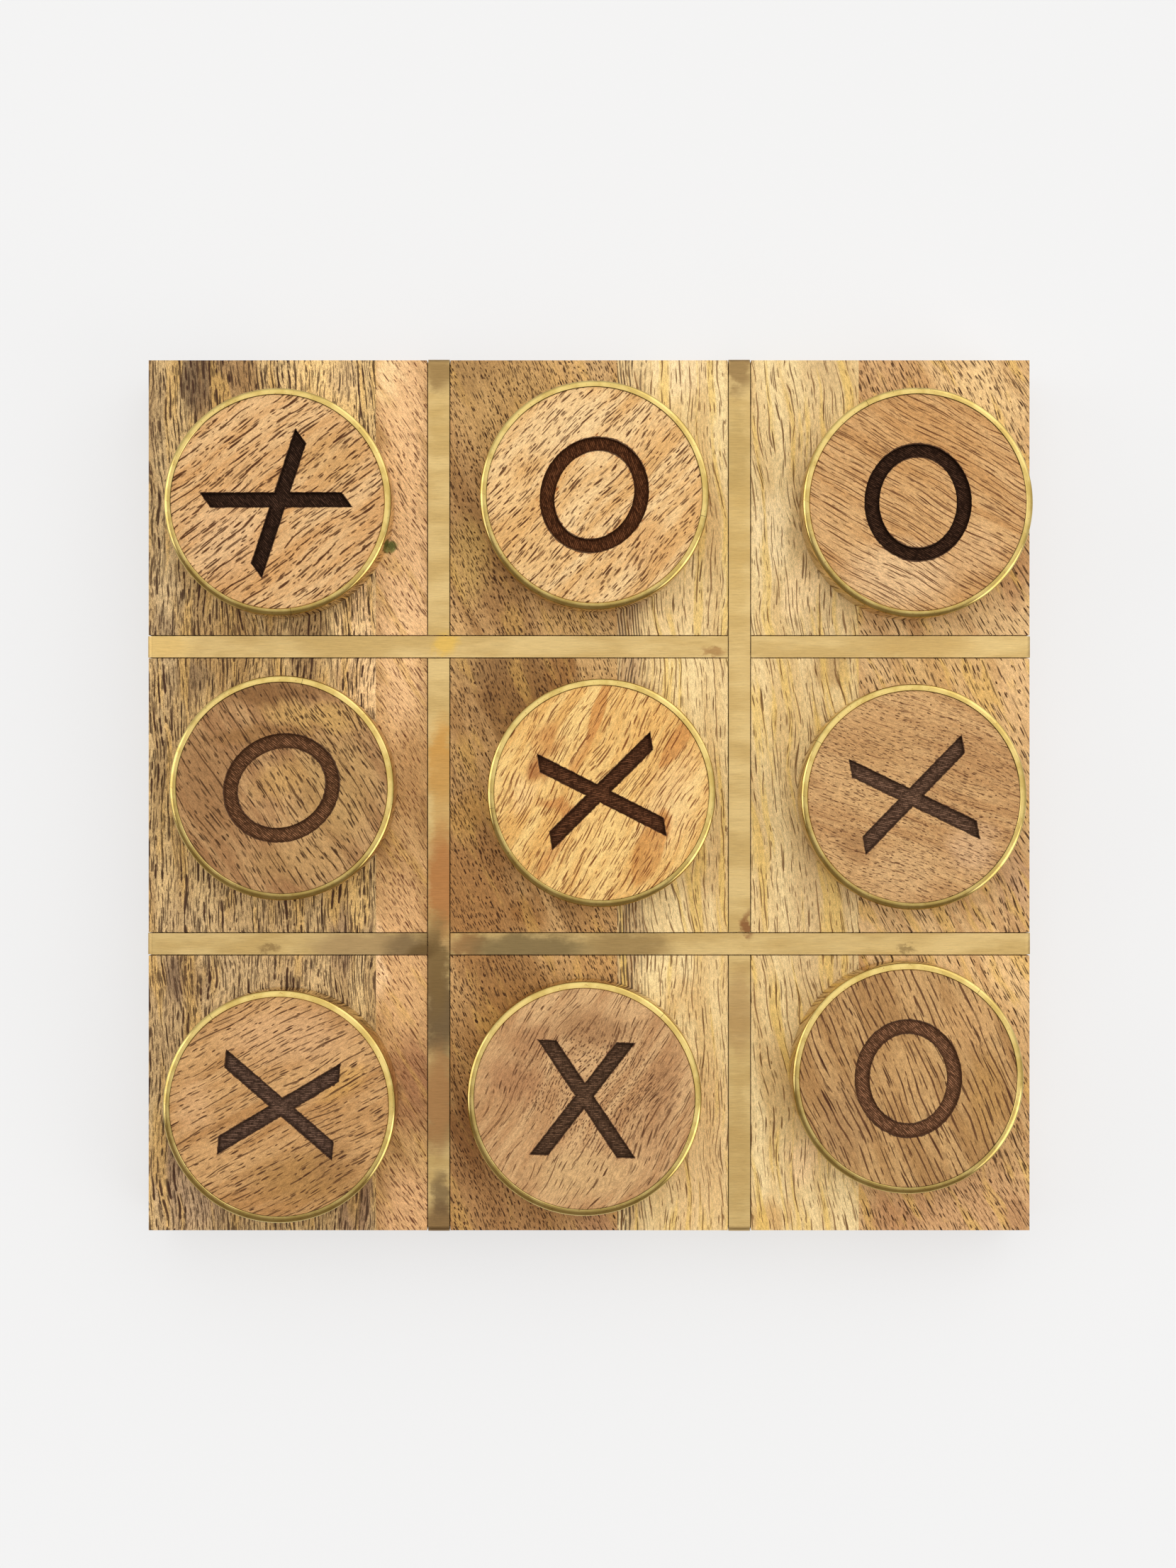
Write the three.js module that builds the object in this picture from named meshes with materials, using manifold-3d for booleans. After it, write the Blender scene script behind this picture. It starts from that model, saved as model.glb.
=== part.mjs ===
// Tic tac toe set: a square board glued up from wood staves, with brass strips let into its top
// and folded down its sides, and nine loose tokens, each a wood disc in a brass hoop, engraved
// with an X or an O.
//
// Millimetres. X runs across the staves, Y runs along them, and Z is up. The origin is at the
// centre of the board's underside.

import * as THREE from 'three';
import { mergeVertices } from 'three/addons/utils/BufferGeometryUtils.js';
import Module from 'manifold-3d';

const wasm = await Module();
wasm.setup();

// ---- Driving dimensions ------------------------------------------------------------------

// Board. The shares say how its width is divided among the staves, from left to right.
const BOARD_WIDTH = 203;
const BOARD_DEPTH = 200.5;
const BOARD_THICKNESS = 19;
const STAVE_SHARES = [0.258, 0.274, 0.274, 0.194];

// Brass strips, each flush with the board's top and bedded in a groove with a line of glue all
// round it. Their folded ends stand a little proud of the board's sides.
const STRIP_WIDTH = 4.9;
const STRIP_THICKNESS = 1;
const STRIP_END_PROUD = 0.35;
const STRIP_BEND_RADIUS = 0.3;
const STRIP_FOOT_HEIGHT = 1;
const GLUE_LINE = 0.25;

// Tokens
const TOKEN_HEIGHT = 10;
const DISC_RADIUS = 24.2;
const DISC_CHAMFER = 0.3;
const DISC_SET_BACK = 0.2;
const HOOP_WALL = 1.5;
const HOOP_EDGE_RADIUS = 0.7;
const HOOP_CLEARANCE = 0.25;
const HOOP_SEAM = 0.15;

// Engraved letters
const ENGRAVING_DEPTH = 1;
const X_HEIGHT = 25.9;
const X_TOP_WIDTH = 21.8;
const X_BOTTOM_WIDTH = 23.7;
const X_STROKE = 4.05;
const O_HEIGHT = 26.4;
const O_WIDTH = 24.3;
const O_SIDE_STROKE = 3.4;
const O_TOP_STROKE = 2.85;

// Facets
const TOKEN_SEGMENTS = 40;
const O_SEGMENTS = 16;
const EDGE_SEGMENTS = 3;

// How far a cutting tool reaches past the surface that it cuts.
const CUTTER_MARGIN = 2;

// Tokens. cell counts cells from the middle one, to the right and to the back. play says where in
// its cell a token sits: from -1 to 1 across and along the room that the cell leaves it. turn is
// the angle of the letter's base line and seam that of the hoop's joint, in degrees from +X, and
// extra is how much the handmade disc's radius differs from the nominal one.
const TOKENS = [
  { name: 'back_left', cell: [-1, 1], mark: 'X', play: [-0.19, -0.33], turn: -54, seam: 277, extra: -0.2 },
  { name: 'back_centre', cell: [0, 1], mark: 'O', play: [0.19, -0.08], turn: -25, seam: 349, extra: 0 },
  { name: 'back_right', cell: [1, 1], mark: 'O', play: [0.83, -0.38], turn: 0, seam: 117, extra: 0.1 },
  { name: 'middle_left', cell: [-1, 0], mark: 'O', play: [-0.04, 0.27], turn: -65, seam: 79, extra: -0.5 },
  { name: 'middle_centre', cell: [0, 0], mark: 'X', play: [0.44, 0.1], turn: 99, seam: 188, extra: -0.1 },
  { name: 'middle_right', cell: [1, 0], mark: 'X', play: [0.63, -0.05], turn: 100, seam: 150, extra: -0.4 },
  { name: 'front_left', cell: [-1, -1], mark: 'X', play: [-0.15, -0.36], turn: -95, seam: 127, extra: 0.4 },
  { name: 'front_centre', cell: [0, -1], mark: 'X', play: [-0.19, -0.03], turn: -2, seam: 47, extra: 0.6 },
  { name: 'front_right', cell: [1, -1], mark: 'O', play: [0.48, 0.79], turn: 0, seam: 51, extra: 0.2 },
];

// ---- Sizes that follow -------------------------------------------------------------------

// The strips divide the board into nine equal cells.
const CELL_WIDTH = (BOARD_WIDTH - 2 * STRIP_WIDTH) / 3;
const CELL_DEPTH = (BOARD_DEPTH - 2 * STRIP_WIDTH) / 3;
const LINE_X = (CELL_WIDTH + STRIP_WIDTH) / 2;
const LINE_Y = (CELL_DEPTH + STRIP_WIDTH) / 2;
const GROOVE_WIDTH = STRIP_WIDTH + 2 * GLUE_LINE;
const GROOVE_DEPTH = STRIP_THICKNESS + GLUE_LINE;
const SIDE_GROOVE_DEPTH = STRIP_THICKNESS - STRIP_END_PROUD + GLUE_LINE;

// ---- Materials ---------------------------------------------------------------------------

const wood = (color) => new THREE.MeshStandardMaterial({ color, roughness: 0.6, metalness: 0 });
const brass = (color, roughness) => new THREE.MeshStandardMaterial({ color, roughness, metalness: 1 });
const STAVE_COLORS = [0x8a7556, 0xc29a6c, 0xd9c293, 0xb88a5b];
const DISC_COLOR = 0xb28a62;
const STRIP_COLOR = 0xb59d63;
const HOOP_COLOR = 0xc8a94e;

// ---- Geometry helpers --------------------------------------------------------------------

function toSolid(geometry) {
  const bare = geometry.index ? geometry.toNonIndexed() : geometry.clone();
  bare.deleteAttribute('normal');
  bare.deleteAttribute('uv');
  const merged = mergeVertices(bare, 1e-4);
  return new wasm.Manifold(new wasm.Mesh({
    numProp: 3,
    vertProperties: merged.attributes.position.array,
    triVerts: new Uint32Array(merged.index.array),
  }));
}

function toGeometry(solid) {
  const { vertProperties, triVerts } = solid.getMesh();
  const geometry = new THREE.BufferGeometry();
  geometry.setAttribute('position', new THREE.BufferAttribute(vertProperties, 3));
  geometry.setIndex(new THREE.BufferAttribute(triVerts, 1));
  geometry.computeVertexNormals();
  return geometry;
}

function cut(geometry, cutters) {
  const solid = cutters.reduce((left, cutter) => left.subtract(toSolid(cutter)), toSolid(geometry));
  return toGeometry(solid);
}

// A block between two corners.
function block(low, high) {
  const size = high.map((value, axis) => value - low[axis]);
  const geometry = new THREE.BoxGeometry(...size);
  return geometry.translate(...high.map((value, axis) => (value + low[axis]) / 2));
}

// A shape drawn with its y upwards is given a thickness along Y, centred on Y = 0.
function uprightPlate(shape, thickness) {
  const geometry = new THREE.ExtrudeGeometry(shape, {
    depth: thickness,
    bevelEnabled: false,
    curveSegments: EDGE_SEGMENTS,
  });
  return geometry.rotateX(Math.PI / 2).translate(0, thickness / 2, 0);
}

// A profile of [radius, height] pairs turned about the Z axis.
function turned(profile) {
  const points = profile.map(([radius, height]) => new THREE.Vector2(radius, height));
  return new THREE.LatheGeometry(points, TOKEN_SEGMENTS).rotateX(Math.PI / 2);
}

function namedMesh(name, geometry, material) {
  const mesh = new THREE.Mesh(geometry, material);
  mesh.name = name;
  return mesh;
}

// ---- Board -------------------------------------------------------------------------------

// The cutter for one groove that runs right across the board along X and down both its sides:
// a slab that wraps the board, less the wood that is left under the strip.
function grooveCutter(length) {
  const half = length / 2;
  const slab = block(
    [-half - CUTTER_MARGIN, -GROOVE_WIDTH / 2, -CUTTER_MARGIN],
    [half + CUTTER_MARGIN, GROOVE_WIDTH / 2, BOARD_THICKNESS + CUTTER_MARGIN],
  );
  const core = block(
    [-half + SIDE_GROOVE_DEPTH, -GROOVE_WIDTH, -2 * CUTTER_MARGIN],
    [half - SIDE_GROOVE_DEPTH, GROOVE_WIDTH, BOARD_THICKNESS - GROOVE_DEPTH],
  );
  return cut(slab, [core]);
}

function grooves() {
  const alongX = [-LINE_Y, LINE_Y].map((y) => grooveCutter(BOARD_WIDTH).translate(0, y, 0));
  const alongY = [-LINE_X, LINE_X].map((x) => (
    grooveCutter(BOARD_DEPTH).rotateZ(Math.PI / 2).translate(x, 0, 0)
  ));
  return [...alongX, ...alongY];
}

function addStaves(parent) {
  const cutters = grooves();
  let left = -BOARD_WIDTH / 2;
  STAVE_SHARES.forEach((share, index) => {
    const isLast = index === STAVE_SHARES.length - 1;
    const right = isLast ? BOARD_WIDTH / 2 : left + share * BOARD_WIDTH;
    const plank = block([left, -BOARD_DEPTH / 2, 0], [right, BOARD_DEPTH / 2, BOARD_THICKNESS]);
    const geometry = cut(plank, cutters);
    parent.add(namedMesh(`stave_${index + 1}`, geometry, wood(STAVE_COLORS[index])));
    left = right;
  });
}

// ---- Brass strips ------------------------------------------------------------------------

// One strip seen from the side. It lies in the top groove from its inner end to the board's
// edge, bends over the edge and runs down the side groove to its foot.
function stripProfile(innerEnd, boardHalf) {
  const outside = boardHalf + STRIP_END_PROUD;
  const top = BOARD_THICKNESS;
  const bend = STRIP_BEND_RADIUS + STRIP_THICKNESS;
  const shape = new THREE.Shape();
  shape.moveTo(innerEnd, top - STRIP_THICKNESS);
  shape.absarc(outside - bend, top - bend, STRIP_BEND_RADIUS, Math.PI / 2, 0, true);
  shape.lineTo(outside - STRIP_THICKNESS, STRIP_FOOT_HEIGHT);
  shape.lineTo(outside, STRIP_FOOT_HEIGHT);
  shape.absarc(outside - bend, top - bend, bend, 0, Math.PI / 2, false);
  shape.lineTo(innerEnd, top);
  shape.closePath();
  return shape;
}

// The strips meet like a pinwheel: each line is in two pieces, and both butt against the line
// that crosses it at its break. A strip points outwards from the break to the board's edge.
// heading is that direction in quarter turns from +X, and side is the side of the board's
// middle that its line lies on.
const STRIPS = [
  { name: 'inlay_back_left', heading: 2, side: 1, breakSide: 1 },
  { name: 'inlay_back_right', heading: 0, side: 1, breakSide: 1 },
  { name: 'inlay_front_left', heading: 2, side: -1, breakSide: -1 },
  { name: 'inlay_front_right', heading: 0, side: -1, breakSide: -1 },
  { name: 'inlay_left_back', heading: 1, side: -1, breakSide: 1 },
  { name: 'inlay_left_front', heading: 3, side: -1, breakSide: 1 },
  { name: 'inlay_right_back', heading: 1, side: 1, breakSide: -1 },
  { name: 'inlay_right_front', heading: 3, side: 1, breakSide: -1 },
];

function addStrips(parent) {
  for (const { name, heading, side, breakSide } of STRIPS) {
    const runsAlongX = heading % 2 === 0;
    const outward = heading < 2 ? 1 : -1;
    const crossing = outward * breakSide * (runsAlongX ? LINE_X : LINE_Y);
    const innerEnd = crossing + STRIP_WIDTH / 2 + GLUE_LINE;
    const boardHalf = (runsAlongX ? BOARD_WIDTH : BOARD_DEPTH) / 2;
    const geometry = uprightPlate(stripProfile(innerEnd, boardHalf), STRIP_WIDTH);
    const strip = namedMesh(name, geometry, brass(STRIP_COLOR, 0.35));
    strip.rotation.z = heading * Math.PI / 2;
    strip.position.set(runsAlongX ? 0 : side * LINE_X, runsAlongX ? side * LINE_Y : 0, 0);
    parent.add(strip);
  }
}

// ---- Tokens ------------------------------------------------------------------------------

// The letter X: two strokes of one width, cut off level with its top and bottom, that spread
// wider at the bottom than at the top and so cross a little above the middle.
function letterX() {
  const top = X_HEIGHT / 2;
  const topSpread = (X_TOP_WIDTH - X_STROKE) / 2;
  const bottomSpread = (X_BOTTOM_WIDTH - X_STROKE) / 2;
  const slope = X_HEIGHT / (topSpread + bottomSpread);
  const crossing = top - slope * topSpread;
  const half = X_STROKE / 2;
  const outline = [
    [topSpread + half, top],
    [topSpread - half, top],
    [0, crossing + slope * half],
    [-topSpread + half, top],
    [-topSpread - half, top],
    [-half, crossing],
    [-bottomSpread - half, -top],
    [-bottomSpread + half, -top],
    [0, crossing - slope * half],
    [bottomSpread - half, -top],
    [bottomSpread + half, -top],
    [half, crossing],
  ];
  return new THREE.Shape(outline.map(([x, y]) => new THREE.Vector2(x, y)));
}

// The letter O: an upright ellipse whose stroke is a little thinner at its top and bottom.
function letterO() {
  const fullTurn = 2 * Math.PI;
  const shape = new THREE.Shape();
  shape.absellipse(0, 0, O_WIDTH / 2, O_HEIGHT / 2, 0, fullTurn, false);
  const inside = new THREE.Path();
  inside.absellipse(0, 0, O_WIDTH / 2 - O_SIDE_STROKE, O_HEIGHT / 2 - O_TOP_STROKE, 0, fullTurn, true);
  shape.holes.push(inside);
  return shape;
}

function letterCutter(mark, topHeight) {
  const geometry = new THREE.ExtrudeGeometry(mark === 'X' ? letterX() : letterO(), {
    depth: ENGRAVING_DEPTH + CUTTER_MARGIN,
    bevelEnabled: false,
    curveSegments: O_SEGMENTS,
  });
  return geometry.translate(0, 0, topHeight - ENGRAVING_DEPTH);
}

function discGeometry(radius, mark) {
  const height = TOKEN_HEIGHT - DISC_SET_BACK;
  const body = turned([
    [0, 0],
    [radius - DISC_CHAMFER, 0],
    [radius, DISC_CHAMFER],
    [radius, height - DISC_CHAMFER],
    [radius - DISC_CHAMFER, height],
    [0, height],
  ]);
  return cut(body, [letterCutter(mark, height)]);
}

// The hoop is a flat band bent round the disc, with its outer top edge rounded over and an open
// butt joint where its ends meet.
function hoopGeometry(discRadius) {
  const inner = discRadius + HOOP_CLEARANCE;
  const outer = inner + HOOP_WALL;
  const edge = Array.from({ length: EDGE_SEGMENTS + 1 }, (_, step) => {
    const angle = (step / EDGE_SEGMENTS) * Math.PI / 2;
    return [
      outer - HOOP_EDGE_RADIUS * (1 - Math.cos(angle)),
      TOKEN_HEIGHT - HOOP_EDGE_RADIUS * (1 - Math.sin(angle)),
    ];
  });
  const band = turned([[inner, 0], [outer, 0], ...edge, [inner, TOKEN_HEIGHT], [inner, 0]]);
  const seam = block(
    [inner - CUTTER_MARGIN, -HOOP_SEAM / 2, -CUTTER_MARGIN],
    [outer + CUTTER_MARGIN, HOOP_SEAM / 2, TOKEN_HEIGHT + CUTTER_MARGIN],
  );
  return cut(band, [seam]);
}

function addToken(parent, token) {
  const radius = DISC_RADIUS + token.extra;
  const outer = radius + HOOP_CLEARANCE + HOOP_WALL;
  const [column, row] = token.cell;
  const [across, along] = token.play;
  const group = new THREE.Group();
  group.position.set(
    column * (CELL_WIDTH + STRIP_WIDTH) + across * (CELL_WIDTH / 2 - outer),
    row * (CELL_DEPTH + STRIP_WIDTH) + along * (CELL_DEPTH / 2 - outer),
    BOARD_THICKNESS,
  );
  const disc = namedMesh(`disc_${token.name}`, discGeometry(radius, token.mark), wood(DISC_COLOR));
  disc.rotation.z = THREE.MathUtils.degToRad(token.turn);
  const hoop = namedMesh(`hoop_${token.name}`, hoopGeometry(radius), brass(HOOP_COLOR, 0.2));
  hoop.rotation.z = THREE.MathUtils.degToRad(token.seam);
  group.add(disc, hoop);
  parent.add(group);
}

// ---- Assembly ----------------------------------------------------------------------------

const set = new THREE.Group();
set.name = 'tic_tac_toe_set';
addStaves(set);
addStrips(set);
TOKENS.forEach((token) => addToken(set, token));

export default set;
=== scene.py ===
import math

import bmesh
import bpy
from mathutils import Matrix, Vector, noise


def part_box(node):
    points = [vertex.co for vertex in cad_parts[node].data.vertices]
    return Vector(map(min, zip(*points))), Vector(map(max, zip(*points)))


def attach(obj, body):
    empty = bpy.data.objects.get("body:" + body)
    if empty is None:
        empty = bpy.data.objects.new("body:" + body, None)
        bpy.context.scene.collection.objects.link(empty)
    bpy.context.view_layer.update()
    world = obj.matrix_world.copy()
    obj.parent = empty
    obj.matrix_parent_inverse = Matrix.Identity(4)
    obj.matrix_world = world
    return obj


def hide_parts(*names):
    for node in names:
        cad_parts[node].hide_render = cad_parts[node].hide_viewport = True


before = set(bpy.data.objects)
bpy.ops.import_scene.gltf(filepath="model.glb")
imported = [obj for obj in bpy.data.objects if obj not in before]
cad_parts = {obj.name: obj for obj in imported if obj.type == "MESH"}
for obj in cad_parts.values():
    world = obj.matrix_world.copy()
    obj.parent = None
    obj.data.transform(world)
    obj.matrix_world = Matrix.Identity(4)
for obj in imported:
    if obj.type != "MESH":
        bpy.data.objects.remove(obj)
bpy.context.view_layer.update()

# A tic tac toe board of four wood staves with brass strips let into it, and nine loose tokens.
# Sizes are in millimetres, angles in degrees and colours in 0 to 255 sRGB as they look under the
# studio light. X is across the board, Y is away from the viewer and Z is up.

MM = 0.001
BOARD_TOP = 19.0
TOKEN_BASE = BOARD_TOP
TOKEN_HEIGHT = 10.0
DISC_SET_BACK = 0.2
DISC_TOP = TOKEN_HEIGHT - DISC_SET_BACK
HOOP_WALL = 1.5
HOOP_SEAM = 0.08
ENGRAVING_DEPTH = 1.0

# The strips' middles are about this far from the board's.
LINE = 34.5

# How brightly the studio lights the discs, the board and the brass.
WOOD_LIGHT = 1.15
BOARD_LIGHT = 1.08
METAL_LIGHT = 1.14


# ---- Node helpers ------------------------------------------------------------------------


def paint(red, green, blue, light=WOOD_LIGHT):
    """A base colour that looks like this sRGB colour under the studio light."""
    def linear(value):
        share = value / 255
        if share <= 0.04045:
            return share / 12.92
        return ((share + 0.055) / 1.055) ** 2.4
    return tuple(min(linear(v) / light, 1.0) for v in (red, green, blue)) + (1.0,)


def metal(red, green, blue):
    return paint(red, green, blue, METAL_LIGHT)


class Tree:
    """Builds the nodes of one material or world. Texture positions are in millimetres."""

    def __init__(self, owner):
        owner.use_nodes = True
        self.tree = owner.node_tree

    def put(self, socket, value):
        if isinstance(value, bpy.types.NodeSocket):
            self.tree.links.new(value, socket)
        else:
            socket.default_value = value

    def add(self, kind, *values, **settings):
        node = self.tree.nodes.new("ShaderNode" + kind)
        for name, value in settings.items():
            setattr(node, name, value)
        for socket, value in zip(node.inputs, values):
            if value is not None:
                self.put(socket, value)
        return node

    def math(self, operation, *values):
        return self.add("Math", *values, operation=operation).outputs[0]

    def times(self, a, b):
        return self.math("MULTIPLY", a, b)

    def vector(self, operation, *values):
        node = self.add("VectorMath", *values, operation=operation)
        measures = ("LENGTH", "DOT_PRODUCT", "DISTANCE")
        return node.outputs["Value" if operation in measures else "Vector"]

    def xyz(self, x, y, z=0.0):
        return self.add("CombineXYZ", x, y, z).outputs[0]

    def at(self, x, y, rate_x, rate_y, shift_x=0.0, shift_y=0.0):
        """A texture position: x and y, each times its rate and moved by its shift."""
        return self.xyz(
            self.math("MULTIPLY_ADD", x, rate_x, shift_x), self.math("MULTIPLY_ADD", y, rate_y, shift_y)
        )

    def split(self, vector):
        return self.add("SeparateXYZ", vector).outputs

    def ahead_and_left(self, place, heading):
        """How far a position reaches along a heading, in degrees from +X, and to its left."""
        a = math.radians(heading)
        ahead = self.vector("DOT_PRODUCT", place, (math.cos(a), math.sin(a), 0))
        left = self.vector("DOT_PRODUCT", place, (-math.sin(a), math.cos(a), 0))
        return ahead, left

    def smooth(self, value, start, end, low=0.0, high=1.0):
        node = self.add("MapRange", value, start, end, low, high)
        node.interpolation_type = "SMOOTHSTEP"
        return node.outputs[0]

    def straight(self, value, start, end, low=0.0, high=1.0):
        return self.add("MapRange", value, start, end, low, high).outputs[0]

    def noise(self, vector, detail=2.0, roughness=0.5):
        node = self.add("TexNoise", vector, noise_dimensions="2D")
        node.inputs["Scale"].default_value = 1.0
        node.inputs["Detail"].default_value = detail
        node.inputs["Roughness"].default_value = roughness
        return node.outputs[0]

    def blend(self, factor, a, b, how="MIX"):
        node = self.add("Mix", data_type="RGBA", blend_type=how)
        self.put(node.inputs[0], factor)
        self.put(node.inputs[6], a)
        self.put(node.inputs[7], b)
        return node.outputs[2]

    def between(self, factor, a, b):
        node = self.add("Mix", data_type="FLOAT")
        self.put(node.inputs[0], factor)
        self.put(node.inputs[2], a)
        self.put(node.inputs[3], b)
        return node.outputs[0]

    def position(self):
        place = self.add("TexCoord").outputs["Object"]
        return self.vector("MULTIPLY", place, (1 / MM,) * 3)

    def patch(self, place, x, y, reach_x, reach_y, turn=0.0, core=0.45):
        """A mask of one soft patch, 1 in its middle and 0 outside."""
        node = self.add("Mapping", place, vector_type="TEXTURE")
        node.inputs["Location"].default_value = (x, y, 0)
        node.inputs["Rotation"].default_value = (0, 0, math.radians(turn))
        node.inputs["Scale"].default_value = (reach_x, reach_y, 1)
        return self.smooth(self.vector("LENGTH", node.outputs[0]), 1.0, core)

    def darker_or_lighter(self, colour, tone):
        return self.blend(1.0, colour, self.xyz(tone, tone, tone), "MULTIPLY")

    def bump(self, shader, height, strength, depth):
        """Gives the shader fine relief from a height, which is worth this depth in millimetres."""
        node = self.add("Bump")
        node.inputs["Strength"].default_value = strength
        node.inputs["Distance"].default_value = depth * MM
        self.put(node.inputs["Height"], height)
        self.put(shader.inputs["Normal"], node.outputs[0])

    def dashes(self, across, along, pitch, reach, thick, length, seed, share):
        """A mask of separate dashes along the grain, one to each cell of pitch by reach."""
        cell = self.at(across, along, 1 / pitch, 1 / reach, seed, seed * 1.7)
        voronoi = self.add("TexVoronoi", cell, voronoi_dimensions="2D")
        voronoi.inputs["Scale"].default_value = 1.0
        offset = self.split(self.vector("SUBTRACT", cell, voronoi.outputs["Position"]))
        chance = self.split(voronoi.outputs["Color"])
        half_thick = self.straight(chance[0], 0, 1, 0.3 * thick / pitch, 0.62 * thick / pitch)
        half_length = self.straight(chance[2], 0, 1, 0.16 * length / reach, 0.66 * length / reach)
        shaped = self.xyz(
            self.math("DIVIDE", offset[0], half_thick), self.math("DIVIDE", offset[1], half_length)
        )
        mask = self.smooth(self.vector("LENGTH", shaped), 1.05, 0.6)
        clump = self.noise(self.at(across, along, 1 / 6, 1 / 14, seed, seed), 2.0)
        limit = self.straight(clump, 0.36, 0.62, 0.25 * share, 1.2 * share)
        kept = self.math("LESS_THAN", chance[1], limit)
        strength = self.straight(chance[1], 0, share, 1.0, 0.55)
        return self.times(self.times(mask, kept), strength)

    def threads(self, across, along, pitch, length, thick, seed, gap):
        """A mask of thin wavy lines along the grain, about a pitch apart and broken here and there."""
        bend = self.noise(self.at(across, along, 0.09, 1 / length, seed), 2.0)
        lane = self.math("ADD", self.math("MULTIPLY_ADD", across, 1 / pitch, seed), self.times(bend, 1.4))
        off = self.math("ABSOLUTE", self.math("SUBTRACT", self.math("FRACT", lane), 0.5))
        broken = self.noise(self.at(self.math("FLOOR", lane), along, 7.3, 2.4 / length), 3.0, 0.65)
        half = thick / pitch / 2
        taper = self.straight(broken, gap - 0.04, gap + 0.18, 0.6 * half, 1.5 * half)
        line = self.smooth(self.math("DIVIDE", off, taper), 1.2, 0.5)
        return self.times(line, self.smooth(broken, gap - 0.04, gap + 0.04))


def new_material(name):
    material = bpy.data.materials.new(name)
    tree = Tree(material)
    return material, tree, material.node_tree.nodes["Principled BSDF"]


# ---- Wood --------------------------------------------------------------------------------

# On a sawn end the growth rings lean with depth, and lean more the deeper they are, and the pores
# are short. A stave's side shows other grain than its top.
RING_LEAN, RING_CURVE = 0.35, 0.03
END_RATE, END_PORE_RATE = 0.6, 3.2
SIDE_SHIFT = 7.3
FACING = 0.6
PORE_DEPTH = 0.12


class Wood:
    """One wood material: coloured bands, soft patches, fibres, dark lines and open pores."""

    def __init__(self, name, dark, light, studio=BOARD_LIGHT):
        self.material, self.tree, self.shader = new_material(name)
        self.studio = studio
        self.dark, self.light = self.paint(dark), self.paint(light)
        self.marks = []

    def paint(self, colour):
        return paint(*colour, self.studio)

    def board_grain(self, slope_left, slope_right, seam_x, sway):
        """Grain that runs along Y and leans by a slope on each side of a hidden line."""
        t = self.tree
        place = t.position()
        x, y, z = t.split(place)
        facing = t.split(t.add("TexCoord").outputs["Normal"])
        on_side = t.math("GREATER_THAN", t.math("ABSOLUTE", facing[0]), FACING)
        on_end = t.math("GREATER_THAN", t.math("ABSOLUTE", facing[1]), FACING)
        across = t.between(on_side, x, t.math("ADD", z, SIDE_SHIFT))
        slope = t.between(t.math("GREATER_THAN", x, seam_x), slope_left, slope_right)
        across = t.math("ADD", across, t.times(slope, y))
        depth = t.math("SUBTRACT", BOARD_TOP, z)
        ring = t.times(depth, t.math("MULTIPLY_ADD", depth, RING_CURVE, RING_LEAN))
        across = t.math("ADD", across, t.times(on_end, ring))
        along = t.between(on_end, y, t.times(z, END_RATE))
        self.finish_grain(place, across, along, sway, wave=0.4, wave_length=8.0)
        self.dash_along = t.between(on_end, along, t.times(z, END_PORE_RATE))

    def disc_grain(self, heading, sway):
        """Grain that runs at a heading, in degrees from +X, on a piece with its own origin."""
        place = self.tree.position()
        along, across = self.tree.ahead_and_left(place, heading)
        self.finish_grain(place, across, along, sway, wave=0.22, wave_length=6.0)

    def finish_grain(self, place, across, along, sway, wave, wave_length):
        t = self.tree
        broad = t.noise(t.at(across, along, 1 / 14, 1 / 26), 1.0)
        fine = t.noise(t.at(across, along, 1 / 3.5, 1 / wave_length), 2.0)
        shift = t.math("MULTIPLY_ADD", broad, sway, t.times(fine, wave))
        self.place, self.along, self.dash_along = place, along, along
        self.across = t.math("ADD", across, shift)

    def streaks(self, width, length, start, end, seed=0.0, detail=2.0):
        """A mask of streaks along the grain, about width by length."""
        t = self.tree
        at = t.at(self.across, self.along, 1 / width, 1 / length, seed, seed)
        return t.smooth(t.noise(at, detail, 0.55), start, end)

    def base(self, width, length, seed=0.0):
        band = self.streaks(width, length, 0.33, 0.67, seed, 3.0)
        self.colour = self.tree.blend(band, self.dark, self.light)

    def soft_place(self, wander):
        """The position, shaken so that patches have uneven edges."""
        t = self.tree
        sway = t.noise(t.at(self.across, self.along, 0.3, 0.08), 3.0)
        push = t.times(t.math("SUBTRACT", sway, 0.5), wander)
        flat = t.vector("MULTIPLY", self.place, (1, 1, 0))
        return t.vector("ADD", flat, t.xyz(push, push))

    def tint(self, mask, colour, strength):
        t = self.tree
        self.colour = t.blend(t.times(mask, strength), self.colour, self.paint(colour))

    def zones(self, patches, wander=9.0, core=0.3):
        """Soft patches: x, y, reach in x and y, colour, strength and, unless it is 0, a turn."""
        place = self.soft_place(wander)
        for x, y, reach_x, reach_y, colour, strength, *turn in patches:
            mask = self.tree.patch(place, x, y, reach_x, reach_y, *turn, core=core)
            self.tint(mask, colour, strength)

    def fibres(self, strength):
        """Fine light and dark fibres, and the speckle of cut cell walls between them."""
        t = self.tree
        self.fibre = t.noise(t.at(self.across, self.along, 2.0, 0.6), 4.0, 0.9)
        speck = t.noise(t.vector("MULTIPLY", self.place, (5.5, 5.5, 5.5)), 2.0, 0.9)
        mixed = t.math("MULTIPLY_ADD", speck, 0.4, t.times(self.fibre, 0.6))
        tone = t.straight(mixed, 0.4, 0.6, 1 - 1.3 * strength, 1 + 1.3 * strength)
        self.colour = t.darker_or_lighter(self.colour, tone)

    def pores(self, mask, colour, strength, where):
        """Dark marks sunk in the surface, kept to one place if a mask of it is given."""
        if where is not None:
            mask = self.tree.times(mask, where)
        self.tint(mask, colour, strength)
        self.marks.append(self.tree.times(mask, strength))

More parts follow.
